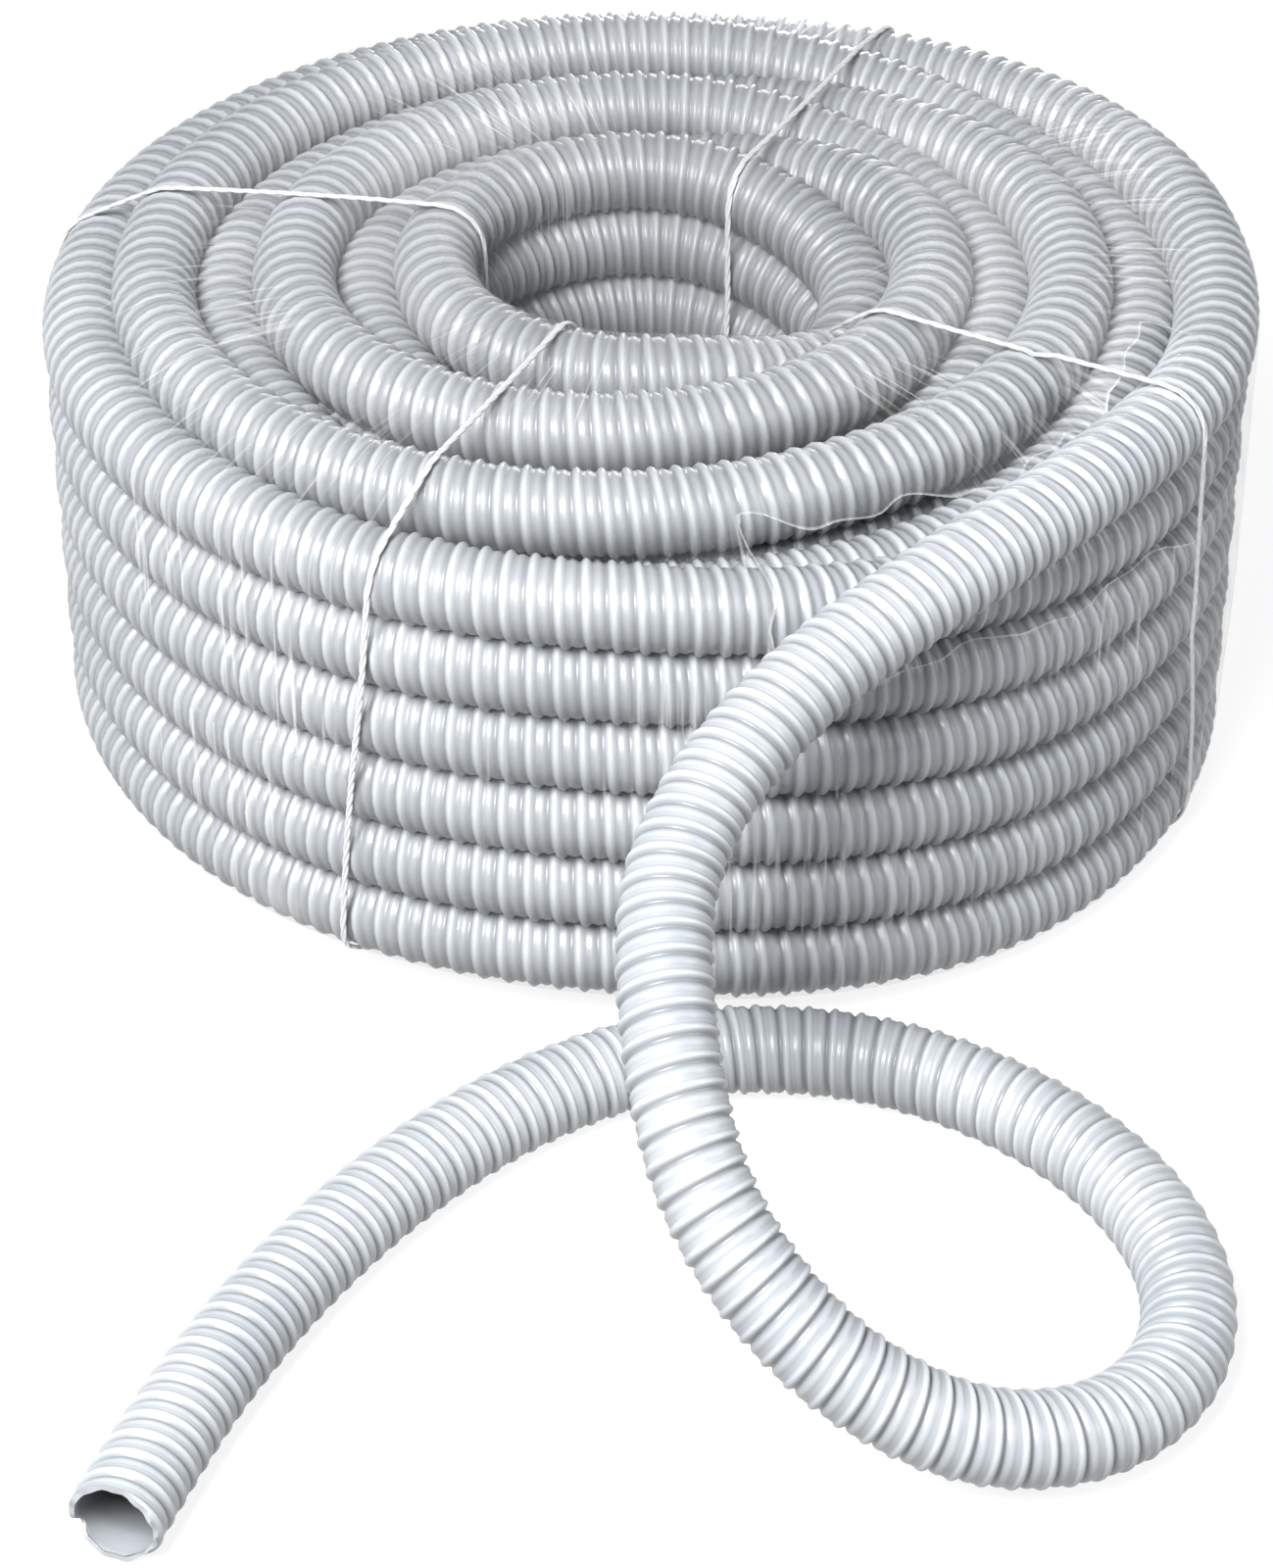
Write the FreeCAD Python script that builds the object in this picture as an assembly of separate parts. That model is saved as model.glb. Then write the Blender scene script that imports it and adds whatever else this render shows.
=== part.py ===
"""Vacuum hose: a ribbed PVC suction hose wound into a tied coil, with one loose tail.

Millimetres, +Z up. The origin is on the coil's axis, at the underside of its wrapping.
The tail comes off the coil's top at +X and swings out and down over the -Y side. It lands,
turns back under itself and ends on the ground.
"""
import FreeCAD, Part
import math
import os

# Hose section
HOSE_OD = 43.0
HOSE_BORE = 38.0
HOSE_R = HOSE_OD / 2

# Winding: columns side by side, turns on top of each other with their ribs interlocked
COLUMNS = 6
ROWS = 6
OUTER_COLUMN_R = 284.0
COLUMN_PITCH = 35.2
ROW_PITCH = 39.5
NEST_RISE = ROW_PITCH / 2

# Wrapping and ties
FILM_THICKNESS = 0.6
FILM_GAP = 0.4
FILM_TEAR_FROM_DEG = -82.0
FILM_TEAR_TO_DEG = -20.0
FILM_TEAR_INNER_R = 254.0
FILM_TEAR_BOTTOM_Z = 205.0
TIE_WIDTH = 5.0
TIE_THICKNESS = 2.2
TIE_PROUD = 0.2
TIE_AZIMUTHS_DEG = {
    "tie_front": -115.0,
    "tie_right": -33.0,
    "tie_back": 64.0,
    "tie_left": 168.0,
}

# Winding stands on the film
BASE_Z = FILM_THICKNESS + FILM_GAP
INNER_COLUMN_R = OUTER_COLUMN_R - (COLUMNS - 1) * COLUMN_PITCH
SECOND_COLUMN_R = OUTER_COLUMN_R - COLUMN_PITCH
BOTTOM_ROW_Z = BASE_Z + HOSE_R
TOP_ROW_Z = BOTTOM_ROW_Z + ROWS * ROW_PITCH
OUTER_BOTTOM_Z = BOTTOM_ROW_Z + NEST_RISE
OUTER_TOP_Z = TOP_ROW_Z - NEST_RISE

# Tail: each arc takes this share of the shorter run beside it
ARC_SHARE = 0.45
FLOOR_Z = HOSE_R
TAIL_ROUTE = [
    (240.0, -163.0, 261.0),
    (190.0, -230.0, 262.5),
    (128.5, -292.5, 259.5),
    (68.0, -345.0, 243.5),
    (26.0, -393.0, 221.0),
    (7.0, -437.0, 200.5),
    (6.0, -478.0, 181.0),
    (10.5, -518.0, 156.5),
    (21.5, -552.5, 128.0),
    (46.5, -581.5, 97.0),
    (84.5, -603.0, 66.0),
    (137.0, -610.0, 38.5),
    (193.5, -591.5, 25.0),
    (232.0, -548.0, FLOOR_Z),
    (241.0, -491.0, FLOOR_Z),
    (222.0, -431.0, FLOOR_Z),
    (181.0, -379.0, FLOOR_Z),
    (124.0, -342.0, FLOOR_Z),
    (62.0, -328.0, FLOOR_Z),
    (0.0, -336.0, FLOOR_Z),
    (-60.0, -370.0, FLOOR_Z),
    (-112.0, -421.0, FLOOR_Z),
    (-155.0, -482.0, FLOOR_Z),
    (-187.0, -543.0, FLOOR_Z),
    (-208.0, -595.0, FLOOR_Z),
    (-223.0, -641.0, FLOOR_Z),
]


def arc_through(centre, start, end, outward):
    """An arc in the XZ plane, bulging the way `outward` points from the centre."""
    radius = math.dist(centre, start)
    middle = FreeCAD.Vector(centre[0], 0, centre[1]) + FreeCAD.Vector(*outward).normalize() * radius
    first = FreeCAD.Vector(start[0], 0, start[1])
    last = FreeCAD.Vector(end[0], 0, end[1])
    return Part.Arc(first, middle, last).toShape()


def notch(one, other, side):
    """Where two equal circles cross, on the side that `side` points to."""
    middle_x = (one[0] + other[0]) / 2
    middle_z = (one[1] + other[1]) / 2
    gap = math.dist(one, other)
    depth = math.sqrt(HOSE_R ** 2 - (gap / 2) ** 2)
    along_x = (other[0] - one[0]) / gap
    along_z = (other[1] - one[1]) / gap
    across = (-along_z * depth, along_x * depth)
    if across[0] * side[0] + across[1] * side[1] < 0:
        across = (-across[0], -across[1])
    return (middle_x + across[0], middle_z + across[1])


def winding_outline():
    """Closed outline of the winding's section: flat underside, one arc for each visible turn."""
    outer_side = [(OUTER_COLUMN_R, OUTER_BOTTOM_Z + row * ROW_PITCH) for row in range(ROWS)]
    top = [(OUTER_COLUMN_R - column * COLUMN_PITCH, TOP_ROW_Z) for column in range(1, COLUMNS)]
    inner_side = [(INNER_COLUMN_R, TOP_ROW_Z - row * ROW_PITCH) for row in range(1, ROWS + 1)]
    corner_turn = (SECOND_COLUMN_R, BOTTOM_ROW_Z)

    turns = [(corner_turn, (1, 0, -1))]
    turns += [(turn, (1, 0, 0)) for turn in outer_side[:-1]]
    turns += [(outer_side[-1], (1, 0, 1))]
    turns += [(turn, (0, 0, 1)) for turn in top[:-1]]
    turns += [(top[-1], (-1, 0, 1))]
    turns += [(turn, (-1, 0, 0)) for turn in inner_side]

    start = (corner_turn[0], BASE_Z)
    edges = []
    for (turn, outward), (following, next_outward) in zip(turns, turns[1:]):
        side = (outward[0] + next_outward[0], outward[2] + next_outward[2])
        end = notch(turn, following, side)
        edges.append(arc_through(turn, start, end, outward))
        start = end
    last_turn = turns[-1][0]
    foot = (last_turn[0], BASE_Z)
    edges.append(arc_through(last_turn, start, foot, (-1, 0, 0)))
    underside = [FreeCAD.Vector(x, 0, BASE_Z) for x in (foot[0], corner_turn[0])]
    edges.append(Part.makeLine(*underside))
    return Part.Wire(edges)


def core_outline(offset):
    """The taut line round the winding's outermost turns, moved out from their centres."""
    corners = [
        (INNER_COLUMN_R, BOTTOM_ROW_Z),
        (SECOND_COLUMN_R, BOTTOM_ROW_Z),
        (OUTER_COLUMN_R, OUTER_BOTTOM_Z),
        (OUTER_COLUMN_R, OUTER_TOP_Z),
        (SECOND_COLUMN_R, TOP_ROW_Z),
        (INNER_COLUMN_R, TOP_ROW_Z),
    ]
    points = [FreeCAD.Vector(x, 0, z) for x, z in corners]
    core = Part.makePolygon(points + points[:1])
    return core.makeOffset2D(offset, 0)


def ring(wire):
    """Full solid of revolution of a closed section about the coil's axis."""
    return Part.Face(wire).revolve(FreeCAD.Vector(0, 0, 0), FreeCAD.Vector(0, 0, 1), 360)


def tie(azimuth):
    """A flat twine loop round the winding's section, pulled into its ribs."""
    outer = HOSE_R + TIE_PROUD
    band = Part.Face(core_outline(outer)).cut(Part.Face(core_outline(outer - TIE_THICKNESS)))
    loop = band.extrude(FreeCAD.Vector(0, TIE_WIDTH, 0))
    loop.translate(FreeCAD.Vector(0, -TIE_WIDTH / 2, 0))
    loop.rotate(FreeCAD.Vector(0, 0, 0), FreeCAD.Vector(0, 0, 1), azimuth)
    return loop.Solids[0]


def film():
    """Clear wrapping round the winding, torn open where the tail comes out."""
    inside = ring(core_outline(HOSE_R + FILM_GAP))
    skin = ring(core_outline(HOSE_R + FILM_GAP + FILM_THICKNESS)).cut(inside)
    margin = HOSE_OD * 2
    depth = OUTER_COLUMN_R + margin - FILM_TEAR_INNER_R
    height = TOP_ROW_Z + margin - FILM_TEAR_BOTTOM_Z
    section = Part.makePlane(
        depth, height,
        FreeCAD.Vector(FILM_TEAR_INNER_R, 0, FILM_TEAR_BOTTOM_Z),
        FreeCAD.Vector(0, -1, 0), FreeCAD.Vector(1, 0, 0),
    )
    sweep = FILM_TEAR_TO_DEG - FILM_TEAR_FROM_DEG
    tear = section.revolve(FreeCAD.Vector(0, 0, 0), FreeCAD.Vector(0, 0, 1), sweep)
    tear.rotate(FreeCAD.Vector(0, 0, 0), FreeCAD.Vector(0, 0, 1), FILM_TEAR_FROM_DEG)
    return skin.cut(tear).Solids[0]


def smooth_path(route):
    """Straight runs joined by tangent arcs, and the radius of each arc."""
    points = [FreeCAD.Vector(*point) for point in route]
    edges = []
    radii = []
    start = points[0]
    for before, corner, after in zip(points, points[1:], points[2:]):
        incoming = corner - before
        outgoing = after - corner
        turn = incoming.getAngle(outgoing)
        reach = ARC_SHARE * min(incoming.Length, outgoing.Length)
        radius = reach / math.tan(turn / 2)
        into = corner - incoming.normalize() * reach
        out = corner + outgoing.normalize() * reach
        inward = (into + out) / 2 - corner
        depth = radius / math.cos(turn / 2) - radius
        middle = corner + inward.normalize() * depth
        edges.append(Part.LineSegment(start, into).toShape())
        edges.append(Part.Arc(into, middle, out).toShape())
        radii.append(radius)
        start = out
    edges.append(Part.LineSegment(start, points[-1]).toShape())
    return Part.Wire(edges), radii


def swept_rod(path, radius):
    """A round solid along the path."""
    first = path.Edges[0]
    heading = first.tangentAt(first.FirstParameter)
    circle = Part.Wire(Part.makeCircle(radius, first.Vertexes[0].Point, heading))
    return path.makePipeShell([circle], True, False)


def tail():
    """The loose end of the hose, open at its cut end."""
    path, radii = smooth_path(TAIL_ROUTE)
    tube = swept_rod(path, HOSE_R).cut(swept_rod(path, HOSE_BORE / 2))
    section = math.pi * (HOSE_R ** 2 - (HOSE_BORE / 2) ** 2)
    print("tail length mm", round(path.Length, 1))
    print("tail bend radii mm", [round(radius) for radius in radii])
    print("tail volume / (section x length)", round(tube.Volume / (section * path.Length), 4))
    return tube.Solids[0]


def main():
    os.makedirs("parts", exist_ok=True)
    nodes = {}
    coil = ring(winding_outline())
    for name, azimuth in TIE_AZIMUTHS_DEG.items():
        nodes[name] = tie(azimuth)
        coil = coil.cut(nodes[name])
    nodes["hose_coil"] = coil.Solids[0]
    nodes["hose_tail"] = tail()
    nodes["stretch_film"] = film()
    for name, solid in nodes.items():
        box = solid.BoundBox
        print(name, "valid", solid.isValid(), "volume cm3", round(solid.Volume / 1000, 1),
              "z", round(box.ZMin, 2), round(box.ZMax, 2))
        solid.exportStep("parts/" + name + ".step")


main()
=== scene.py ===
"""Looks of a coiled, film-wrapped vacuum hose with one loose tail. Metres, +Z up."""
import math

import bpy
import numpy as np
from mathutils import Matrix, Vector


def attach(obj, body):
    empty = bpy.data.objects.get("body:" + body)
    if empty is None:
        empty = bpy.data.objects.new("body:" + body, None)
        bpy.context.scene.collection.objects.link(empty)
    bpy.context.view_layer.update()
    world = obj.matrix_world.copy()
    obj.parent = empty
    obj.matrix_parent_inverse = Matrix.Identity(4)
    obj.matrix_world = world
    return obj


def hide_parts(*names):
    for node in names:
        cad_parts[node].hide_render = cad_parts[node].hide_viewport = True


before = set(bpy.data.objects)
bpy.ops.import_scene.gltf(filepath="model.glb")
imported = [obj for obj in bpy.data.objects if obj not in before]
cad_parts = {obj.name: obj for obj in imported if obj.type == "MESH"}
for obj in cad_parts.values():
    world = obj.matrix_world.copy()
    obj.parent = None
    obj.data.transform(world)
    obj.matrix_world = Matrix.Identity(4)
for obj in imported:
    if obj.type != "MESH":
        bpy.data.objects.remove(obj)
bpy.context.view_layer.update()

# Hose section: each turn of the spiral has a tall rib, a groove, a low rib and a shallow crease.
# The tail is drawn out straighter, so its low rib and crease come nearer to the tall rib's height.
# The bore is drawn narrower than the CAD model's true one, to leave a wall behind the grooves.
# The grooves carry painted shade: their colour is GROOVE_SHADE times the colour on the crests.
HOSE_D = 0.043
HOSE_R = HOSE_D / 2
BORE_R = 0.0178
RIB_PITCH = 0.0119
RIB_HEIGHT = 0.0034
COIL_RIBS = {"low": 0.58, "crease": 0.46}
TAIL_RIBS = {"low": 0.76, "crease": 0.70}
GROOVE_SHADE = 0.26

# Places and half widths across one turn of the spiral, in shares of the pitch
TALL_RIB_HALF = 0.25
LOW_RIB_AT = 0.52
LOW_RIB_HALF = 0.29
CREASE_AT = -0.24
CREASE_HALF = 0.2
RIB_ROUNDNESS = 0.75

# Mesh density along and round the hose
COIL_MESH = {"rows_per_pitch": 9, "segments": 20}
TAIL_MESH = {"rows_per_pitch": 14, "segments": 48}

# Winding, as the CAD model has it
OUTER_COLUMN_R = 0.284
COLUMN_PITCH = 0.0352
COLUMNS = 6
ROWS = 6
ROW_PITCH = 0.0395
BOTTOM_Z = 0.0225
TOP_Z = BOTTOM_Z + ROWS * ROW_PITCH
POINTS_PER_TURN = 24
STEP_DEG = 360 / POINTS_PER_TURN
# A quadratic spline's radius, as a share of its control points' radius
SPLINE_SHRINK = (3 + math.cos(math.radians(STEP_DEG))) / 4
SPLINE_STEPS = 8

# Angles, clockwise seen from above, at which a turn falls or climbs a row, in two steps, and at
# which the hose crosses to the next column. Falls count from the coil's left side, the rest from +X.
FALL_DEG = ((85, 165), (192, 238))
RISE_DEG = ((95, 160), (265, 345))
OUTER_RISE_DEG = ((40, 100), (270, 350))
OUTER_RISE_FIRST = 0.6
CROSS_AT_BOTTOM_DEG = (190, 350)
CROSS_AT_TOP_DEG = (15, 165)

# Inner end: tucked down and out under the next turn, and narrowed
INNER_END_DEG = 38
INNER_END_SPAN_DEG = 45
INNER_END_DIP = 0.014
INNER_END_OUT = 0.010
INNER_END_WIDTH = 0.5
INNER_END_TAPER = 0.016
CLOSED_R = 0.0005

# Outer end: the last points before the tail swing out a little
LEAVING_DEG = (0, 12, 23)
LEAVING_OUT = 0.006
LEAVING_SPAN_DEG = (0, 34)

# Turns further in than this are covered all round, in shares of the column and row pitches
COVERED_COLUMNS = 0.7
COVERED_ROWS_BELOW = 0.8
COVERED_ROWS_ABOVE = 1.6

# Tail, from the point where it leaves the coil to its cut end
FLOOR_Z = HOSE_R
TAIL_ROUTE = [
    (0.240, -0.163, 0.261),
    (0.190, -0.230, 0.2625),
    (0.1285, -0.2925, 0.2595),
    (0.068, -0.345, 0.2435),
    (0.026, -0.393, 0.221),
    (0.007, -0.437, 0.2005),
    (0.006, -0.478, 0.181),
    (0.0105, -0.518, 0.1565),
    (0.0215, -0.5525, 0.128),
    (0.0465, -0.5815, 0.097),
    (0.0845, -0.603, 0.066),
    (0.137, -0.610, 0.0385),
    (0.1935, -0.5915, 0.025),
    (0.232, -0.548, FLOOR_Z),
    (0.241, -0.491, FLOOR_Z),
    (0.222, -0.431, FLOOR_Z),
    (0.181, -0.379, FLOOR_Z),
    (0.124, -0.342, FLOOR_Z),
    (0.062, -0.328, FLOOR_Z),
    (0.000, -0.336, FLOOR_Z),
    (-0.060, -0.370, FLOOR_Z),
    (-0.112, -0.421, FLOOR_Z),
    (-0.155, -0.482, FLOOR_Z),
    (-0.187, -0.543, FLOOR_Z),
    (-0.208, -0.595, FLOOR_Z),
    (-0.223, -0.641, FLOOR_Z),
]

# Cut edge: waves as (height, count, phase), and a notch on one side
CUT_WAVES = ((0.0008, 3, 0.8), (0.0005, 11, 0.0))
CUT_NOTCH_WAY = Vector((-0.85, 0.28, -0.45)).normalized()
CUT_NOTCH_DEPTH = 0.004
CUT_NOTCH_SPREAD = 0.02
# A little painted shade on the cut edge
CUT_SHADE = 0.9

# Bore, as far in as it can be seen, with painted shade that grows darker inwards
BORE_MOUTH_DEPTHS = (0.0, 0.003, 0.006)
BORE_INNER_DEPTHS = (0.012, 0.35)
BORE_INNER_ROWS = 58
BORE_RIPPLE = 0.0005
BORE_DEEP_SHADE = 0.25
BORE_MOUTH_SHADE = 0.85
BORE_SHADE_FADE = 0.02

# The film and the ties are drawn taut round the winding's section, about its middle (radius, height)
SECTION_MIDDLE = np.array((0.19, 0.141))
HULL_SPOKES = 180
LEAST_FACING = 0.05
SOFTENED_POINTS = 2

# Ties, each as (angle round the winding's section, azimuth) pairs. The section's angle is 0 on
# the outer wall, 90 on top and 180 on the inner wall.
TIES_DEG = {
    "tie_front": ((-45, -119), (0, -117), (45, -114.5), (150, -113)),
    "tie_right": ((-45, -25), (0, -30.5), (45, -32), (150, -37)),
    "tie_back": ((-45, 66), (0, 65), (45, 63), (150, 60)),
    "tie_left": ((-45, 175), (0, 174), (45, 171), (150, 164)),
}
TIE_POINTS = 480
STRANDS = 3
STRAND_R = 0.0009
STRAND_FLATNESS = 0.8
STRAND_SIDES = 8
# Each strand winds about the tie's middle line, this far sideways and outwards
TWINE_TWISTS = 36
TWINE_SPREAD = 0.0009
TWINE_RISE = 0.0004

# Film
FILM_LIFT = 0.0004
FILM_SEAM_DEG = 90
FILM_STEP_DEG = 0.75
FILM_SPOKES = 160
# The wrap goes through the coil's hole, so its layers lie closer there: opacity is this / radius
FILM_LAYERING = 0.021

# Haze where the film bridges between turns, less of it round the front
HAZE_FROM = 0.002
HAZE_SPAN = 0.01
FRONT_DEG = -90
FRONT_SPREAD_DEG = 38
FRONT_CLEARING = 0.85

# Where the film is bunched on the outer wall: azimuth, height, and how far it spreads in each
FILM_BUNCHES = [(-126, 0.045, 5, 0.012), (-24, 0.03, 3, 0.02)]
BUNCH_HAZE = 2
BUNCH_LEAST_R = 0.25

# The torn opening, and the waves of its edge
TEAR_DEG = (-80, -22)
TEAR_INNER_R = 0.262
TEAR_BOTTOM_Z = 0.208
TEAR_LONG_WAVE = {"height": 0.004, "waves_round": 19, "radians_per_metre": 60}
TEAR_SHORT_WAVE = {"height": 0.002, "waves_round": 47, "radians_per_metre": 200}

# Camera
CAMERA_PLACE = (-0.0055, -1.8669, 1.2858)
CAMERA_DOWN_DEG = 35.82
CAMERA_LENS = 95.95
CAMERA_SENSOR = 36
CAMERA_REACH = 50

# Lights
LIGHT_TARGET = (0, -0.15, 0.12)
LIGHTS = {
    "key": {"place": (-0.7, -1.55, 1.8), "size": 1.0, "power": 147},
    "back": {"place": (0.3, 2.6, 0.42), "size": 1.0, "power": 38},
    "fill": {"place": (2.3, -0.9, 1.2), "size": 1.2, "power": 27},
}
SURROUND_COLOUR = (0.9, 0.95, 1, 1)
SURROUND_LIGHT = 0.12
SURROUND_SEEN = 0.95
FLOOR_HALF = 8
FLOOR_DROP = 0.0005
FLOOR_GREY = (0.15, 0.15, 0.15, 1)
FLOOR_GLOW = 0.86
FLOOR_ROUGHNESS = 0.9

# Materials: colours, and how opaque and how grey the film is
PVC_DARK = (0.325, 0.347, 0.370)
PVC_LIGHT = (0.405, 0.426, 0.448)
# Painted shade on surfaces that face down
UNDERSIDE_SHADE = 0.5
TWINE_DARK = (0.30, 0.305, 0.31)
TWINE_LIGHT = (0.44, 0.445, 0.45)
# The film's bright streaks are milky wrinkles, and partly painted highlight
STREAK_SCALE = (95, 7, 1)
STREAK_OPACITY = 0.36
HAZE_OPACITY = 0.09
# A milky rim along the torn edge: the film gathered there, and partly painted highlight
TEAR_EDGE_OPACITY = 0.2
CLEAR_FILM_GREY = 0.2
MILKY_FILM_GREY = 0.6


# ---------------------------------------------------------------- camera and light

def add_camera():
    """A long lens in front of the coil and above it, looking down at it."""
    data = bpy.data.cameras.new("camera")
    data.lens = CAMERA_LENS
    data.sensor_width = CAMERA_SENSOR
    data.clip_end = CAMERA_REACH
    camera = bpy.data.objects.new("camera", data)
    camera.location = CAMERA_PLACE
    camera.rotation_euler = (math.radians(90 - CAMERA_DOWN_DEG), 0, 0)
    bpy.context.scene.collection.objects.link(camera)
    bpy.context.scene.camera = camera


def add_area_light(name, place, size, power):
    """A soft square light at a place, turned to the coil."""
    data = bpy.data.lights.new(name, "AREA")
    data.shape = "SQUARE"
    data.size = size
    data.energy = power
    light = bpy.data.objects.new(name, data)
    light.visible_camera = False
    light.location = place
    light.rotation_euler = (Vector(LIGHT_TARGET) - Vector(place)).to_track_quat("-Z", "Y").to_euler()
    bpy.context.scene.collection.objects.link(light)


def add_surround():
    """A surround that looks pale and lights the coil dimly."""
    world = bpy.data.worlds.new("surround")
    world.use_nodes = True
    tree = world.node_tree
    surround = tree.nodes["Background"]
    surround.inputs["Color"].default_value = SURROUND_COLOUR
    seen = tree.nodes.new("ShaderNodeLightPath").outputs["Is Camera Ray"]
    strength = ranged(tree, seen, low=0, high=1, to_low=SURROUND_LIGHT, to_high=SURROUND_SEEN)
    tree.links.new(strength, surround.inputs["Strength"])
    bpy.context.scene.world = world


def add_floor():
    """A floor that is evenly white by its own glow, and still takes faint shadows."""
    mesh = bpy.data.meshes.new("floor")
    corners = [(-FLOOR_HALF, -FLOOR_HALF, 0), (FLOOR_HALF, -FLOOR_HALF, 0),
               (FLOOR_HALF, FLOOR_HALF, 0), (-FLOOR_HALF, FLOOR_HALF, 0)]
    mesh.from_pydata(corners, [], [(0, 1, 2, 3)])
    floor = bpy.data.objects.new("floor", mesh)
    floor.location.z = -FLOOR_DROP
    bpy.context.scene.collection.objects.link(floor)
    material, tree, shader = new_material("floor_white")
    shader.inputs["Base Color"].default_value = FLOOR_GREY
    shader.inputs["Roughness"].default_value = FLOOR_ROUGHNESS
    shader.inputs["Emission Color"].default_value = (1, 1, 1, 1)
    shader.inputs["Emission Strength"].default_value = FLOOR_GLOW
    mesh.materials.append(material)


def add_light():
    """The surround, a key light from the front left, two weak lights and the floor."""
    bpy.context.scene.view_settings.view_transform = "Standard"
    add_surround()
    for name, light in LIGHTS.items():
        add_area_light(name, **light)
    add_floor()


# ---------------------------------------------------------------- the hose's line

def smooth(value, start, end):
    """0 before start, 1 after end, and a smooth step between."""
    share = min(max((value - start) / (end - start), 0), 1)
    return share * share * (3 - 2 * share)


def row_share(angle, spans, first_share=0.5):
    """Share of a row that a turn has climbed or fallen by an angle, in two smooth steps."""
    first, second = spans
    return first_share * smooth(angle, *first) + (1 - first_share) * smooth(angle, *second)


def column_radius(column):
    """Radius of a column of turns; column 1 is the outermost."""
    return OUTER_COLUMN_R - (column - 1) * COLUMN_PITCH


def inner_end():
    """The start of the innermost column, up to the coil's left side."""
    places = []
    for angle in np.arange(INNER_END_DEG, 180 - STEP_DEG / 2, STEP_DEG):
        tucked = 1 - smooth(angle, INNER_END_DEG, INNER_END_DEG + INNER_END_SPAN_DEG)
        radius = column_radius(COLUMNS) + INNER_END_OUT * tucked
        places.append((angle, radius, TOP_Z - INNER_END_DIP * tucked))
    return places


def descent(column):
    """A column wound down from the left side, then half a turn out to the next one at the bottom."""
    places = []
    for step in range(ROWS * POINTS_PER_TURN):
        row, angle = divmod(step * STEP_DEG, 360)
        fallen = row + row_share(angle, FALL_DEG)
        places.append((180 + angle, column_radius(column), TOP_Z - ROW_PITCH * fallen))
    for step in range(POINTS_PER_TURN // 2):
        angle = 180 + step * STEP_DEG
        radius = column_radius(column) + COLUMN_PITCH * smooth(angle, *CROSS_AT_BOTTOM_DEG)
        places.append((angle, radius, BOTTOM_Z))
    return places


def ascent(column):
    """A column wound up from the right side."""
    places = []
    for step in range(ROWS * POINTS_PER_TURN):
        row, angle = divmod(step * STEP_DEG, 360)
        if column == 1:
            risen = row + row_share(angle, OUTER_RISE_DEG, OUTER_RISE_FIRST)
        else:
            risen = row + row_share(angle, RISE_DEG)
        places.append((angle, column_radius(column), BOTTOM_Z + ROW_PITCH * risen))
    return places


def crossing_at_top(column):
    """Half a turn on top of the coil, out to the next column."""
    places = []
    for step in range(POINTS_PER_TURN // 2):
        angle = step * STEP_DEG
        radius = column_radius(column) + COLUMN_PITCH * smooth(angle, *CROSS_AT_TOP_DEG)
        places.append((angle, radius, TOP_Z))
    return places


def outer_end():
    """The last points of the winding, where the hose swings out to leave it."""
    return [(angle, OUTER_COLUMN_R + LEAVING_OUT * smooth(angle, *LEAVING_SPAN_DEG), TOP_Z)
            for angle in LEAVING_DEG]


def winding_points():
    """Control points of the wound hose, from its inner end out to the top of the outer column.

    Even columns are wound downwards from the left side and odd ones upwards from the right
    side, so the hose crosses to the next column round the back at the bottom and round the
    front at the top.
    """
    places = inner_end()
    for even in range(COLUMNS, 0, -2):
        odd = even - 1
        places += descent(even) + ascent(odd)
        if odd > 1:
            places += crossing_at_top(odd)
    places += outer_end()
    points = []
    for angle, radius, height in places:
        turn = math.radians(angle)
        wide = radius / SPLINE_SHRINK
        points.append((wide * math.cos(turn), -wide * math.sin(turn), height))
    return points


def hose_line():
    """The hose's centreline, read from one smooth spline, and the index where the tail starts."""
    route = winding_points() + TAIL_ROUTE
    data = bpy.data.curves.new("hose_route", "CURVE")
    data.dimensions = "3D"
    data.resolution_u = SPLINE_STEPS
    spline = data.splines.new("NURBS")
    spline.points.add(len(route) - 1)
    for point, place in zip(spline.points, route):
        point.co = (*place, 1)
    spline.order_u = 3
    spline.use_endpoint_u = True
    holder = bpy.data.objects.new("hose_route", data)
    mesh = bpy.data.meshes.new_from_object(holder)
    line = np.array([vertex.co for vertex in mesh.vertices], float)
    bpy.data.meshes.remove(mesh)
    bpy.data.curves.remove(data)
    split = int(np.linalg.norm(line - np.array(TAIL_ROUTE[0]), axis=1).argmin())
    return line, split


def along(line):
    """Distance along a line at each of its points."""
    return np.concatenate([[0], np.cumsum(np.linalg.norm(np.diff(line, axis=0), axis=1))])


def unit(vectors):
    """Vectors drawn out or in to a length of 1."""
    return vectors / np.linalg.norm(vectors, axis=-1, keepdims=True)


def carried_frames(line):
    """Headings, and side vectors carried along the line without twist."""
    headings = unit(np.gradient(line, axis=0))
    sides = np.empty_like(line)
    side = np.cross(headings[0], (0.0, 0.0, 1.0))
    for i, heading in enumerate(headings):
        side = side - heading * side.dot(heading)
        side = side / math.sqrt(side.dot(side))
        sides[i] = side
    return headings, sides


def sampled(distances, values, stations):
    """Vectors known at distances along a line, read between them at stations."""
    return np.stack([np.interp(stations, distances, values[:, k]) for k in range(3)], axis=1)


# ---------------------------------------------------------------- meshes

def round_angles(count):
    """Angles spread evenly round a circle."""
    return np.linspace(0, 2 * math.pi, count, endpoint=False)


def grid_quads(rows, columns, closed=True):
    """Corners of a grid's quads; closed joins its last column to its first."""
    across = columns if closed else columns - 1
    row = np.arange(rows - 1)[:, None] * columns
    here = np.arange(across)[None, :]
    there = (here + 1) % columns
    return np.stack([row + here, row + there, row + columns + there, row + columns + here],
                    axis=-1).reshape(-1, 4)


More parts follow.
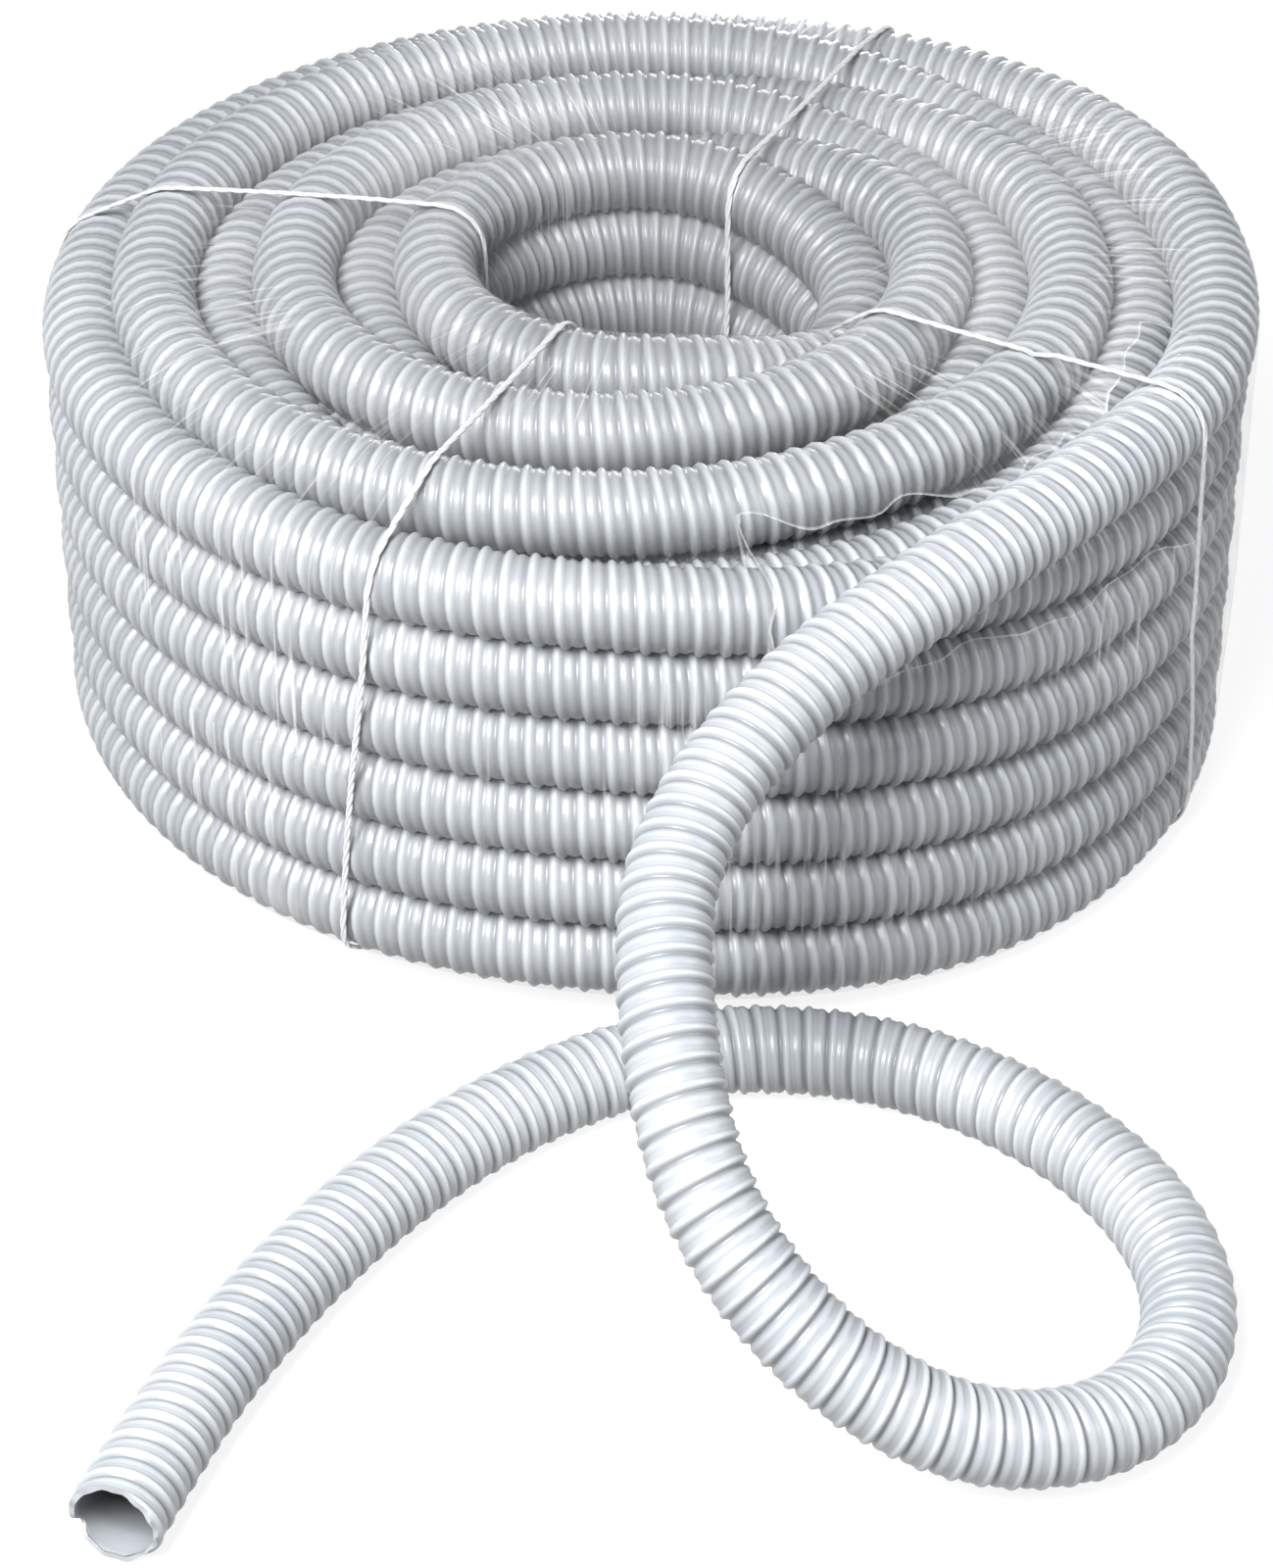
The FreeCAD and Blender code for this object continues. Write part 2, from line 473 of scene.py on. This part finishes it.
def spiral_quads(rows, columns, lead):
    """Quads of a grid whose last column meets its first `lead` rows on, as a screw thread does."""
    open_quads = grid_quads(rows, columns, closed=False)
    row = np.arange(rows - 1 - lead)
    last = row * columns + columns - 1
    first = (row + lead) * columns
    seam = np.stack([last, first, first + columns, last + columns], axis=-1)
    return np.vstack([open_quads, seam])


def add_values(mesh, name, values):
    """A number for each point of a mesh, which its material reads by name."""
    layer = mesh.attributes.new(name, "FLOAT", "POINT")
    layer.data.foreach_set("value", np.ravel(values).astype(np.float32))


def mesh_from(name, parts):
    """One smooth mesh from parts, each (points, quads, shade of each point)."""
    points = np.vstack([part[0].reshape(-1, 3) for part in parts])
    starts = np.cumsum([0] + [part[0].size // 3 for part in parts])
    quads = np.vstack([part[1] + start for part, start in zip(parts, starts)])
    mesh = bpy.data.meshes.new(name)
    mesh.vertices.add(len(points))
    mesh.vertices.foreach_set("co", np.asarray(points, np.float32).ravel())
    mesh.loops.add(quads.size)
    mesh.loops.foreach_set("vertex_index", quads.astype(np.int32).ravel())
    mesh.polygons.add(len(quads))
    mesh.polygons.foreach_set("loop_start", np.arange(0, quads.size, 4, dtype=np.int32))
    mesh.update(calc_edges=True)
    mesh.polygons.foreach_set("use_smooth", np.ones(len(quads), bool))
    add_values(mesh, "shade", np.concatenate([np.ravel(part[2]) for part in parts]))
    return mesh


def add_piece(mesh, material, node):
    """An object with its mesh's name, which rides the body and stands for a CAD node."""
    piece = bpy.data.objects.new(mesh.name, mesh)
    bpy.context.scene.collection.objects.link(piece)
    mesh.materials.append(material)
    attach(piece, "root")
    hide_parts(node)
    return piece


# ---------------------------------------------------------------- the ribbed hose

def hump(offset, half_width):
    """1 in the middle of a rounded rib, falling steeply to 0 at its edges."""
    wrapped = np.abs((offset + 0.5) % 1 - 0.5)
    return np.cos(np.minimum(wrapped / half_width, 1) * math.pi / 2) ** RIB_ROUNDNESS


def rib(phase, low, crease):
    """Height of the ribbed wall over one turn of the spiral, from 0 to 1."""
    tall_rib = hump(phase, TALL_RIB_HALF)
    low_rib = low * hump(phase - LOW_RIB_AT, LOW_RIB_HALF)
    crease_floor = crease * hump(phase - CREASE_AT, CREASE_HALF)
    return np.maximum(np.maximum(tall_rib, low_rib), crease_floor)


class Hose:
    """The hose's line, with what is needed to lay a tube round any stretch of it."""

    def __init__(self, line):
        self.line = line
        self.distances = along(line)
        self.headings, self.sides = carried_frames(line)

    def at(self, stations):
        """Centres, headings and two directions across the hose at distances along it."""
        flat = np.ravel(stations)
        centre = sampled(self.distances, self.line, flat)
        heading = unit(sampled(self.distances, self.headings, flat))
        side = sampled(self.distances, self.sides, flat)
        side = unit(side - heading * (side * heading).sum(1, keepdims=True))
        up = np.cross(heading, side)
        return [vectors.reshape(*np.shape(stations), 3) for vectors in (centre, heading, side, up)]

    def tube(self, stations, angle, radius):
        """Points round the line at stations, a grid with one column for each angle."""
        centre, heading, side, up = self.at(stations)
        spoke = side * np.cos(angle)[None, :, None] + up * np.sin(angle)[None, :, None]
        return centre + spoke * radius[..., None]

    def path(self, start, end, step):
        """Points along a stretch of the line, about a step apart."""
        stations = np.linspace(start, end, round((end - start) / step))
        return sampled(self.distances, self.line, stations).tolist()


def ribbed_part(hose, ribs, start, end, rows_per_pitch, segments, trim=0.0, taper=0.0):
    """A stretch of ribbed tube whose mesh rows run along its spiral.

    `trim` is how much is cut off the end at each angle, and `taper` is the length over which
    the tube grows to its full width at its start.
    """
    angle = round_angles(segments)
    lead = angle / (2 * math.pi)
    step = RIB_PITCH / rows_per_pitch
    first = np.arange(start - RIB_PITCH, end + 1.5 * step, step)
    stations = np.clip(first[:, None] + RIB_PITCH * lead[None, :], start, end - trim)
    height = rib(stations / RIB_PITCH - lead[None, :], **ribs)
    radius = HOSE_R - RIB_HEIGHT * (1 - height)
    if taper:
        share = np.clip((stations - start) / taper, 0, 1)
        radius = radius * (INNER_END_WIDTH + (1 - INNER_END_WIDTH) * np.sqrt(share * (2 - share)))
    # Painted shade, darkest in the grooves and none on the crests
    shade = GROOVE_SHADE + (1 - GROOVE_SHADE) * height
    points = hose.tube(stations, angle, radius)
    return points, spiral_quads(len(first), segments, rows_per_pitch), shade


def plain_part(hose, stations, radius, shade):
    """A stretch of smooth tube in the coil, one radius for each station."""
    segments = COIL_MESH["segments"]
    shape = (len(stations), segments)
    rows = np.broadcast_to(stations[:, None], shape)
    points = hose.tube(rows, round_angles(segments), np.broadcast_to(radius[:, None], shape))
    return points, grid_quads(*shape), np.full(shape, shade)


def hidden_inside(points):
    """True for the turns that other turns cover all round."""
    radius = np.hypot(points[:, 0], points[:, 1])
    height = points[:, 2]
    inner = column_radius(COLUMNS) + COVERED_COLUMNS * COLUMN_PITCH
    outer = OUTER_COLUMN_R - COVERED_COLUMNS * COLUMN_PITCH
    low = BOTTOM_Z + COVERED_ROWS_BELOW * ROW_PITCH
    high = TOP_Z - COVERED_ROWS_ABOVE * ROW_PITCH
    return (radius > inner) & (radius < outer) & (height > low) & (height < high)


def coil_parts(hose, leaves):
    """The winding's tube, ribbed where it shows and plain on the covered turns."""
    places = np.arange(0, leaves, RIB_PITCH)
    covered = hidden_inside(sampled(hose.distances, hose.line, places))
    changes = np.flatnonzero(np.diff(covered.astype(int))) + 1
    bounds = [0.0, *places[changes], leaves]
    parts = []
    for start, end in zip(bounds, bounds[1:]):
        if covered[np.searchsorted(places, start)]:
            stations = np.linspace(start - RIB_PITCH, end + RIB_PITCH, round((end - start) / RIB_PITCH))
            radius = np.full(len(stations), HOSE_R - RIB_HEIGHT)
            parts.append(plain_part(hose, stations, radius, shade=1.0))
        else:
            taper = INNER_END_TAPER if start == 0 else 0.0
            parts.append(ribbed_part(hose, COIL_RIBS, start, end, **COIL_MESH, taper=taper))
    # The closing disc carries the grooves' painted shade
    closing = np.array([HOSE_R * INNER_END_WIDTH, CLOSED_R])
    parts.append(plain_part(hose, np.zeros(2), closing, shade=GROOVE_SHADE))
    return parts


def rough_cut(hose, end, angle):
    """How much is cut off the tail's end at each angle."""
    side, up = (way[0] for way in hose.at(np.array([end]))[2:])
    spoke = np.outer(np.cos(angle), side) + np.outer(np.sin(angle), up)
    notch = np.exp((spoke @ CUT_NOTCH_WAY - 1) / CUT_NOTCH_SPREAD)
    waves = sum(height * (1 + np.sin(count * angle + phase)) for height, count, phase in CUT_WAVES)
    return waves + CUT_NOTCH_DEPTH * notch


def bore_part(hose, end, angle, rough):
    """The tail's inner wall, faintly rippled by the spiral."""
    depth = np.array([*BORE_MOUTH_DEPTHS, *np.linspace(*BORE_INNER_DEPTHS, BORE_INNER_ROWS)])
    stations = np.minimum(end - depth[:, None], end - rough[None, :])
    radius = BORE_R + BORE_RIPPLE * np.cos(2 * math.pi * stations / RIB_PITCH - angle[None, :])
    # Painted shade, darker deeper in the bore
    near_mouth = np.exp(-depth[:, None] / BORE_SHADE_FADE)
    shade = BORE_DEEP_SHADE + (BORE_MOUTH_SHADE - BORE_DEEP_SHADE) * near_mouth
    return (hose.tube(stations, angle, radius), grid_quads(*stations.shape),
            np.broadcast_to(shade, radius.shape))


def cut_part(hose, end, angle, rough):
    """The cut edge, from the ribbed outside in to the bore."""
    stations = end - np.stack([rough, rough])
    height = rib(stations[0] / RIB_PITCH - angle / (2 * math.pi), **TAIL_RIBS)
    outside = HOSE_R - RIB_HEIGHT * (1 - height)
    radius = np.stack([outside, np.full(len(angle), BORE_R)])
    # The cut edge carries a little painted shade
    return hose.tube(stations, angle, radius), grid_quads(*radius.shape), np.full(radius.shape, CUT_SHADE)


def tail_parts(hose, leaves, end):
    """The tail's ribbed outside, its bore and its rough cut edge."""
    angle = round_angles(TAIL_MESH["segments"])
    rough = rough_cut(hose, end, angle)
    return [ribbed_part(hose, TAIL_RIBS, leaves, end, **TAIL_MESH, trim=rough),
            bore_part(hose, end, angle, rough), cut_part(hose, end, angle, rough)]


def add_hose(material):
    """The wound hose and its loose tail, as two pieces of one ribbed tube."""
    line, split = hose_line()
    hose = Hose(line)
    leaves = float(hose.distances[split])
    end = float(hose.distances[-1])

    coil = add_piece(mesh_from("hose_coil_turns", coil_parts(hose, leaves)),
                     material, "hose_coil")

    tail = add_piece(mesh_from("hose_tail_ribbed", tail_parts(hose, leaves, end)),
                     material, "hose_tail")
    return line[:split + 1]


# ---------------------------------------------------------------- drawn taut round the winding

def crossings(line, azimuth):
    """Radius and height of each turn where the winding crosses the half-plane at an azimuth."""
    turn = math.radians(azimuth)
    out = line[:, 0] * math.cos(turn) + line[:, 1] * math.sin(turn)
    across = -line[:, 0] * math.sin(turn) + line[:, 1] * math.cos(turn)
    hit = np.flatnonzero((across[:-1] * across[1:] <= 0) & (out[:-1] > 0) & (across[:-1] != across[1:]))
    share = (across[hit] / (across[hit] - across[hit + 1]))[:, None]
    flat = np.stack([out, line[:, 2]], axis=1)
    return flat[hit] + share * (flat[hit + 1] - flat[hit])


def spokes(count):
    """Unit vectors (radius, height) spread evenly round the winding's section."""
    angle = round_angles(count)
    return np.stack([np.cos(angle), np.sin(angle)], axis=1)


def taut_reach(turns, directions, lift):
    """Distances from the section's middle to a wrap drawn taut round the turns."""
    normals = spokes(HULL_SPOKES)
    support = ((turns - SECTION_MIDDLE) @ normals.T).max(axis=0) + HOSE_R + lift
    facing = directions @ normals.T
    reach = np.where(facing > LEAST_FACING, support / np.maximum(facing, LEAST_FACING), np.inf)
    return reach.min(axis=1)


def placed(azimuth, flat):
    """Points (radius, height) put at their azimuths."""
    turn = np.radians(azimuth)
    radius = flat[..., 0]
    return np.stack([radius * np.cos(turn), radius * np.sin(turn), flat[..., 1]], axis=-1)


def softened(values):
    """Values averaged with their neighbours along the first axis, which closes on itself."""
    shifts = range(-SOFTENED_POINTS, SOFTENED_POINTS + 1)
    return sum(np.roll(values, shift, axis=0) for shift in shifts) / len(shifts)


# ---------------------------------------------------------------- ties

def tie_line(leaning, line):
    """A tie's middle line round the section, and the azimuth of each point on it."""
    section_angle = np.arange(TIE_POINTS) * 360 / TIE_POINTS
    azimuth = np.interp(section_angle, *zip(*leaning), period=360)
    directions = spokes(TIE_POINTS)
    reach = np.array([taut_reach(crossings(line, one), way[None], STRAND_R)[0]
                      for one, way in zip(azimuth, directions)])
    return placed(azimuth, SECTION_MIDDLE + directions * softened(reach)[:, None]), azimuth


def strand_rings(centre, aside, out):
    """A flattened tube round a closed line."""
    angle = round_angles(STRAND_SIDES)
    wide = aside[:, None] * (STRAND_R * np.cos(angle))[None, :, None]
    thick = out[:, None] * (STRAND_FLATNESS * STRAND_R * np.sin(angle))[None, :, None]
    rings = centre[:, None] + wide + thick
    # The coil's weight presses the twine flat on the ground
    rings[..., 2] = np.maximum(rings[..., 2], 0)
    return np.vstack([rings, rings[:1]])


def add_tie(name, leaning, line, material):
    """A flat lay of twisted strands drawn taut round the winding."""
    path, azimuth = tie_line(leaning, line)
    heading = unit(np.roll(path, -1, axis=0) - np.roll(path, 1, axis=0))
    turn = np.radians(azimuth)
    aside = np.stack([-np.sin(turn), np.cos(turn), np.zeros(TIE_POINTS)], axis=1)
    out = unit(np.cross(heading, aside))
    parts = []
    for strand in range(STRANDS):
        twist = 2 * math.pi * (np.arange(TIE_POINTS) * TWINE_TWISTS / TIE_POINTS + strand / STRANDS)
        centre = (path + aside * (TWINE_SPREAD * np.cos(twist))[:, None]
                  + out * (TWINE_RISE * np.sin(twist))[:, None])
        rings = strand_rings(centre, aside, out)
        parts.append((rings, grid_quads(*rings.shape[:2]), np.ones(rings.shape[:2])))
    add_piece(mesh_from(name + "_twine", parts), material, name)


# ---------------------------------------------------------------- film

def film_reach(turns, directions):
    """How far out the film lies, taut over the turns at each azimuth and at the ones beside it."""
    reach = np.array([taut_reach(one, directions, FILM_LIFT) for one in turns])
    neighbours = np.maximum(np.roll(reach, 1, axis=0), np.roll(reach, -1, axis=0))
    return softened(np.maximum(reach, neighbours))


def film_haze(azimuth, flat, turns):
    """How hazy the film is where it bridges between turns."""
    gap = np.array([np.linalg.norm(points[:, None] - one[None], axis=2).min(axis=1) - HOSE_R
                    for points, one in zip(flat, turns)])
    bridging = np.clip((gap - HAZE_FROM) / HAZE_SPAN, 0, 1)
    front = np.exp(-((azimuth - FRONT_DEG) / FRONT_SPREAD_DEG) ** 2)
    return bridging * (1 - FRONT_CLEARING * front[:, None])


def bunch_haze(azimuth, rings):
    """More haze where the film is bunched."""
    outer_wall = np.hypot(rings[..., 0], rings[..., 1]) > BUNCH_LEAST_R
    haze = np.zeros(outer_wall.shape)
    for middle, height, wide, tall in FILM_BUNCHES:
        away = ((azimuth - middle) / wide) ** 2 + ((rings[..., 2] - height) / tall) ** 2
        haze += BUNCH_HAZE * np.exp(-away) * outer_wall
    return haze


def wave(turn, distance, height, waves_round, radians_per_metre):
    """A slanting wave over an angle round the coil, in radians, and a distance."""
    return height * np.sin(waves_round * turn + radians_per_metre * distance)


def tear_depth(azimuth, rings):
    """How far inside the torn opening each point of the film lies; less than 0 outside it."""
    radius = np.hypot(rings[..., 0], rings[..., 1])
    height = rings[..., 2]
    from_left = np.radians(azimuth - TEAR_DEG[0]) * radius
    from_right = np.radians(TEAR_DEG[1] - azimuth) * radius
    inside = np.minimum(np.minimum(from_left, from_right), radius - TEAR_INNER_R)
    inside = np.minimum(inside, height - TEAR_BOTTOM_Z)
    turn = np.radians(azimuth)
    return inside + wave(turn, radius, **TEAR_LONG_WAVE) + wave(turn, height, **TEAR_SHORT_WAVE)


def add_wrap_places(mesh, azimuth):
    """Each point's place in the wrap, round the coil and round its section, for the streaks."""
    section_share = np.arange(FILM_SPOKES) / FILM_SPOKES
    round_coil, round_section = np.broadcast_arrays(np.radians(azimuth), section_share)
    places = np.stack([round_coil, round_section, np.zeros(round_coil.shape)], axis=-1)
    layer = mesh.attributes.new("wrap", "FLOAT_VECTOR", "POINT")
    layer.data.foreach_set("vector", places.astype(np.float32).ravel())


def add_film(line, material):
    """The clear wrap: taut over the turns' crests, open where the tail comes out."""
    azimuth = np.arange(FILM_SEAM_DEG - 360, FILM_SEAM_DEG, FILM_STEP_DEG)
    directions = spokes(FILM_SPOKES)
    turns = [crossings(line, one) for one in azimuth]
    flat = SECTION_MIDDLE + directions * film_reach(turns, directions)[..., None]
    haze = film_haze(azimuth, flat, turns)

    # The first ring comes again a whole turn on, so that places in the wrap run on to the seam
    azimuth = np.append(azimuth, azimuth[0] + 360)[:, None]
    rings = placed(azimuth, np.vstack([flat, flat[:1]]))
    haze = np.vstack([haze, haze[:1]]) + bunch_haze(azimuth, rings)
    depth = tear_depth(azimuth, rings)
    quads = grid_quads(*rings.shape[:2])
    torn = depth.ravel()[quads].min(axis=1) > 0
    mesh = mesh_from("stretch_film_wrap", [(rings, quads[~torn], haze)])
    add_values(mesh, "tear_depth", depth)
    add_values(mesh, "layers", FILM_LAYERING / np.hypot(rings[..., 0], rings[..., 1]))
    add_wrap_places(mesh, azimuth)

    piece = add_piece(mesh, material, "stretch_film")


# ---------------------------------------------------------------- materials

def new_material(name):
    """A material with its node tree and its shader."""
    material = bpy.data.materials.new(name)
    material.use_nodes = True
    tree = material.node_tree
    return material, tree, tree.nodes["Principled BSDF"]


def noise(tree, vector, scale, detail):
    """A noise texture's value over a vector."""
    node = tree.nodes.new("ShaderNodeTexNoise")
    node.inputs["Scale"].default_value = scale
    node.inputs["Detail"].default_value = detail
    tree.links.new(vector, node.inputs["Vector"])
    return node.outputs["Fac"]


def attribute(tree, name, output="Fac"):
    """What a mesh's points carry under a name."""
    node = tree.nodes.new("ShaderNodeAttribute")
    node.attribute_name = name
    return node.outputs[output]


def ranged(tree, value, low, high, to_low=0.0, to_high=1.0):
    """A value's range from low to high spread over another range, and held at its ends."""
    node = tree.nodes.new("ShaderNodeMapRange")
    for name, number in (("From Min", low), ("From Max", high), ("To Min", to_low), ("To Max", to_high)):
        node.inputs[name].default_value = number
    tree.links.new(value, node.inputs["Value"])
    return node.outputs["Result"]


def combined(tree, operation, first, second):
    """Two values put together; the second may be a plain number."""
    node = tree.nodes.new("ShaderNodeMath")
    node.operation = operation
    tree.links.new(first, node.inputs[0])
    if isinstance(second, float):
        node.inputs[1].default_value = second
    else:
        tree.links.new(second, node.inputs[1])
    return node.outputs[0]


def mottled(tree, value, dark, light, low=0.0, high=1.0):
    """A colour that goes from dark to light as a value goes from low to high."""
    node = tree.nodes.new("ShaderNodeValToRGB")
    for element, position, colour in zip(node.color_ramp.elements, (low, high), (dark, light)):
        element.position = position
        element.color = (*colour, 1)
    tree.links.new(value, node.inputs["Fac"])
    return node.outputs["Color"]


def bumped(tree, shader, height, strength, distance):
    """A shader's surface raised by a height."""
    node = tree.nodes.new("ShaderNodeBump")
    node.inputs["Strength"].default_value = strength
    node.inputs["Distance"].default_value = distance
    tree.links.new(height, node.inputs["Height"])
    tree.links.new(node.outputs["Normal"], shader.inputs["Normal"])


def pvc_shade(tree):
    """Painted shade on the hose: darker in the grooves, in the bore and where the surface faces down."""
    facing = tree.nodes.new("ShaderNodeSeparateXYZ")
    tree.links.new(tree.nodes.new("ShaderNodeNewGeometry").outputs["Normal"], facing.inputs[0])
    underside = ranged(tree, facing.outputs["Z"], low=-0.6, high=0.45, to_low=UNDERSIDE_SHADE)
    return combined(tree, "MULTIPLY", attribute(tree, "shade"), underside)


def pvc_material():
    """Light grey PVC, mottled a little and finely grained, and darkened by painted shade."""
    material, tree, shader = new_material("grey_pvc")
    place = tree.nodes.new("ShaderNodeTexCoord").outputs["Object"]
    mottle = noise(tree, place, scale=14, detail=6)
    shaded = tree.nodes.new("ShaderNodeVectorMath")
    shaded.operation = "SCALE"
    tree.links.new(mottled(tree, mottle, PVC_DARK, PVC_LIGHT, low=0.3, high=0.7), shaded.inputs[0])
    tree.links.new(pvc_shade(tree), shaded.inputs["Scale"])
    tree.links.new(shaded.outputs["Vector"], shader.inputs["Base Color"])
    bumped(tree, shader, noise(tree, place, scale=320, detail=3), strength=0.15, distance=0.0006)
    shader.inputs["Roughness"].default_value = 0.42
    shader.inputs["Coat Weight"].default_value = 0.15
    shader.inputs["Coat Roughness"].default_value = 0.15
    return material


def film_material():
    """Clear stretch film: hazy where it bridges the turns, with bright streaks drawn round them that are
    milky wrinkles and partly painted highlight.
    """
    material, tree, shader = new_material("clear_film")
    shader.inputs["Roughness"].default_value = 0.3
    place = tree.nodes.new("ShaderNodeTexCoord").outputs["Object"]
    drawn = tree.nodes.new("ShaderNodeVectorMath")
    drawn.operation = "MULTIPLY"
    drawn.inputs[1].default_value = STREAK_SCALE
    tree.links.new(attribute(tree, "wrap", "Vector"), drawn.inputs[0])
    streak = noise(tree, drawn.outputs["Vector"], scale=1, detail=4)
    patch = ranged(tree, noise(tree, place, scale=8, detail=2), low=0.44, high=0.64)
    # Bright streaks: milky wrinkles, and partly painted highlight
    brightest = ranged(tree, streak, low=0.52, high=0.72, to_high=STREAK_OPACITY)
    bright = combined(tree, "MULTIPLY", brightest, patch)
    hazy = combined(tree, "MULTIPLY", attribute(tree, "shade"), HAZE_OPACITY)
    depth = attribute(tree, "tear_depth")
    # Milky rim at the torn edge: gathered film, and partly painted highlight
    edge = ranged(tree, depth, low=-0.0016, high=-0.0006, to_high=TEAR_EDGE_OPACITY)
    milky = combined(tree, "ADD", combined(tree, "ADD", bright, hazy), edge)
    grey = ranged(tree, milky, low=0.0, high=0.25, to_low=CLEAR_FILM_GREY, to_high=MILKY_FILM_GREY)
    tree.links.new(grey, shader.inputs["Base Color"])
    alpha = combined(tree, "ADD", milky, attribute(tree, "layers"))
    whole = combined(tree, "LESS_THAN", depth, 0.0)
    tree.links.new(combined(tree, "MULTIPLY", alpha, whole), shader.inputs["Alpha"])
    bumped(tree, shader, streak, strength=0.6, distance=0.003)
    return material


def twine_material():
    """White fibrous twine."""
    material, tree, shader = new_material("white_twine")
    place = tree.nodes.new("ShaderNodeTexCoord").outputs["Object"]
    fibre = noise(tree, place, scale=700, detail=2)
    tree.links.new(mottled(tree, fibre, TWINE_DARK, TWINE_LIGHT), shader.inputs["Base Color"])
    shader.inputs["Roughness"].default_value = 0.75
    shader.inputs["Sheen Weight"].default_value = 0.3
    return material


# ---------------------------------------------------------------- scene

add_camera()
wound = add_hose(pvc_material())
add_light()
twine = twine_material()
for tie_name, tie_leaning in TIES_DEG.items():
    add_tie(tie_name, tie_leaning, wound, twine)
add_film(wound, film_material())
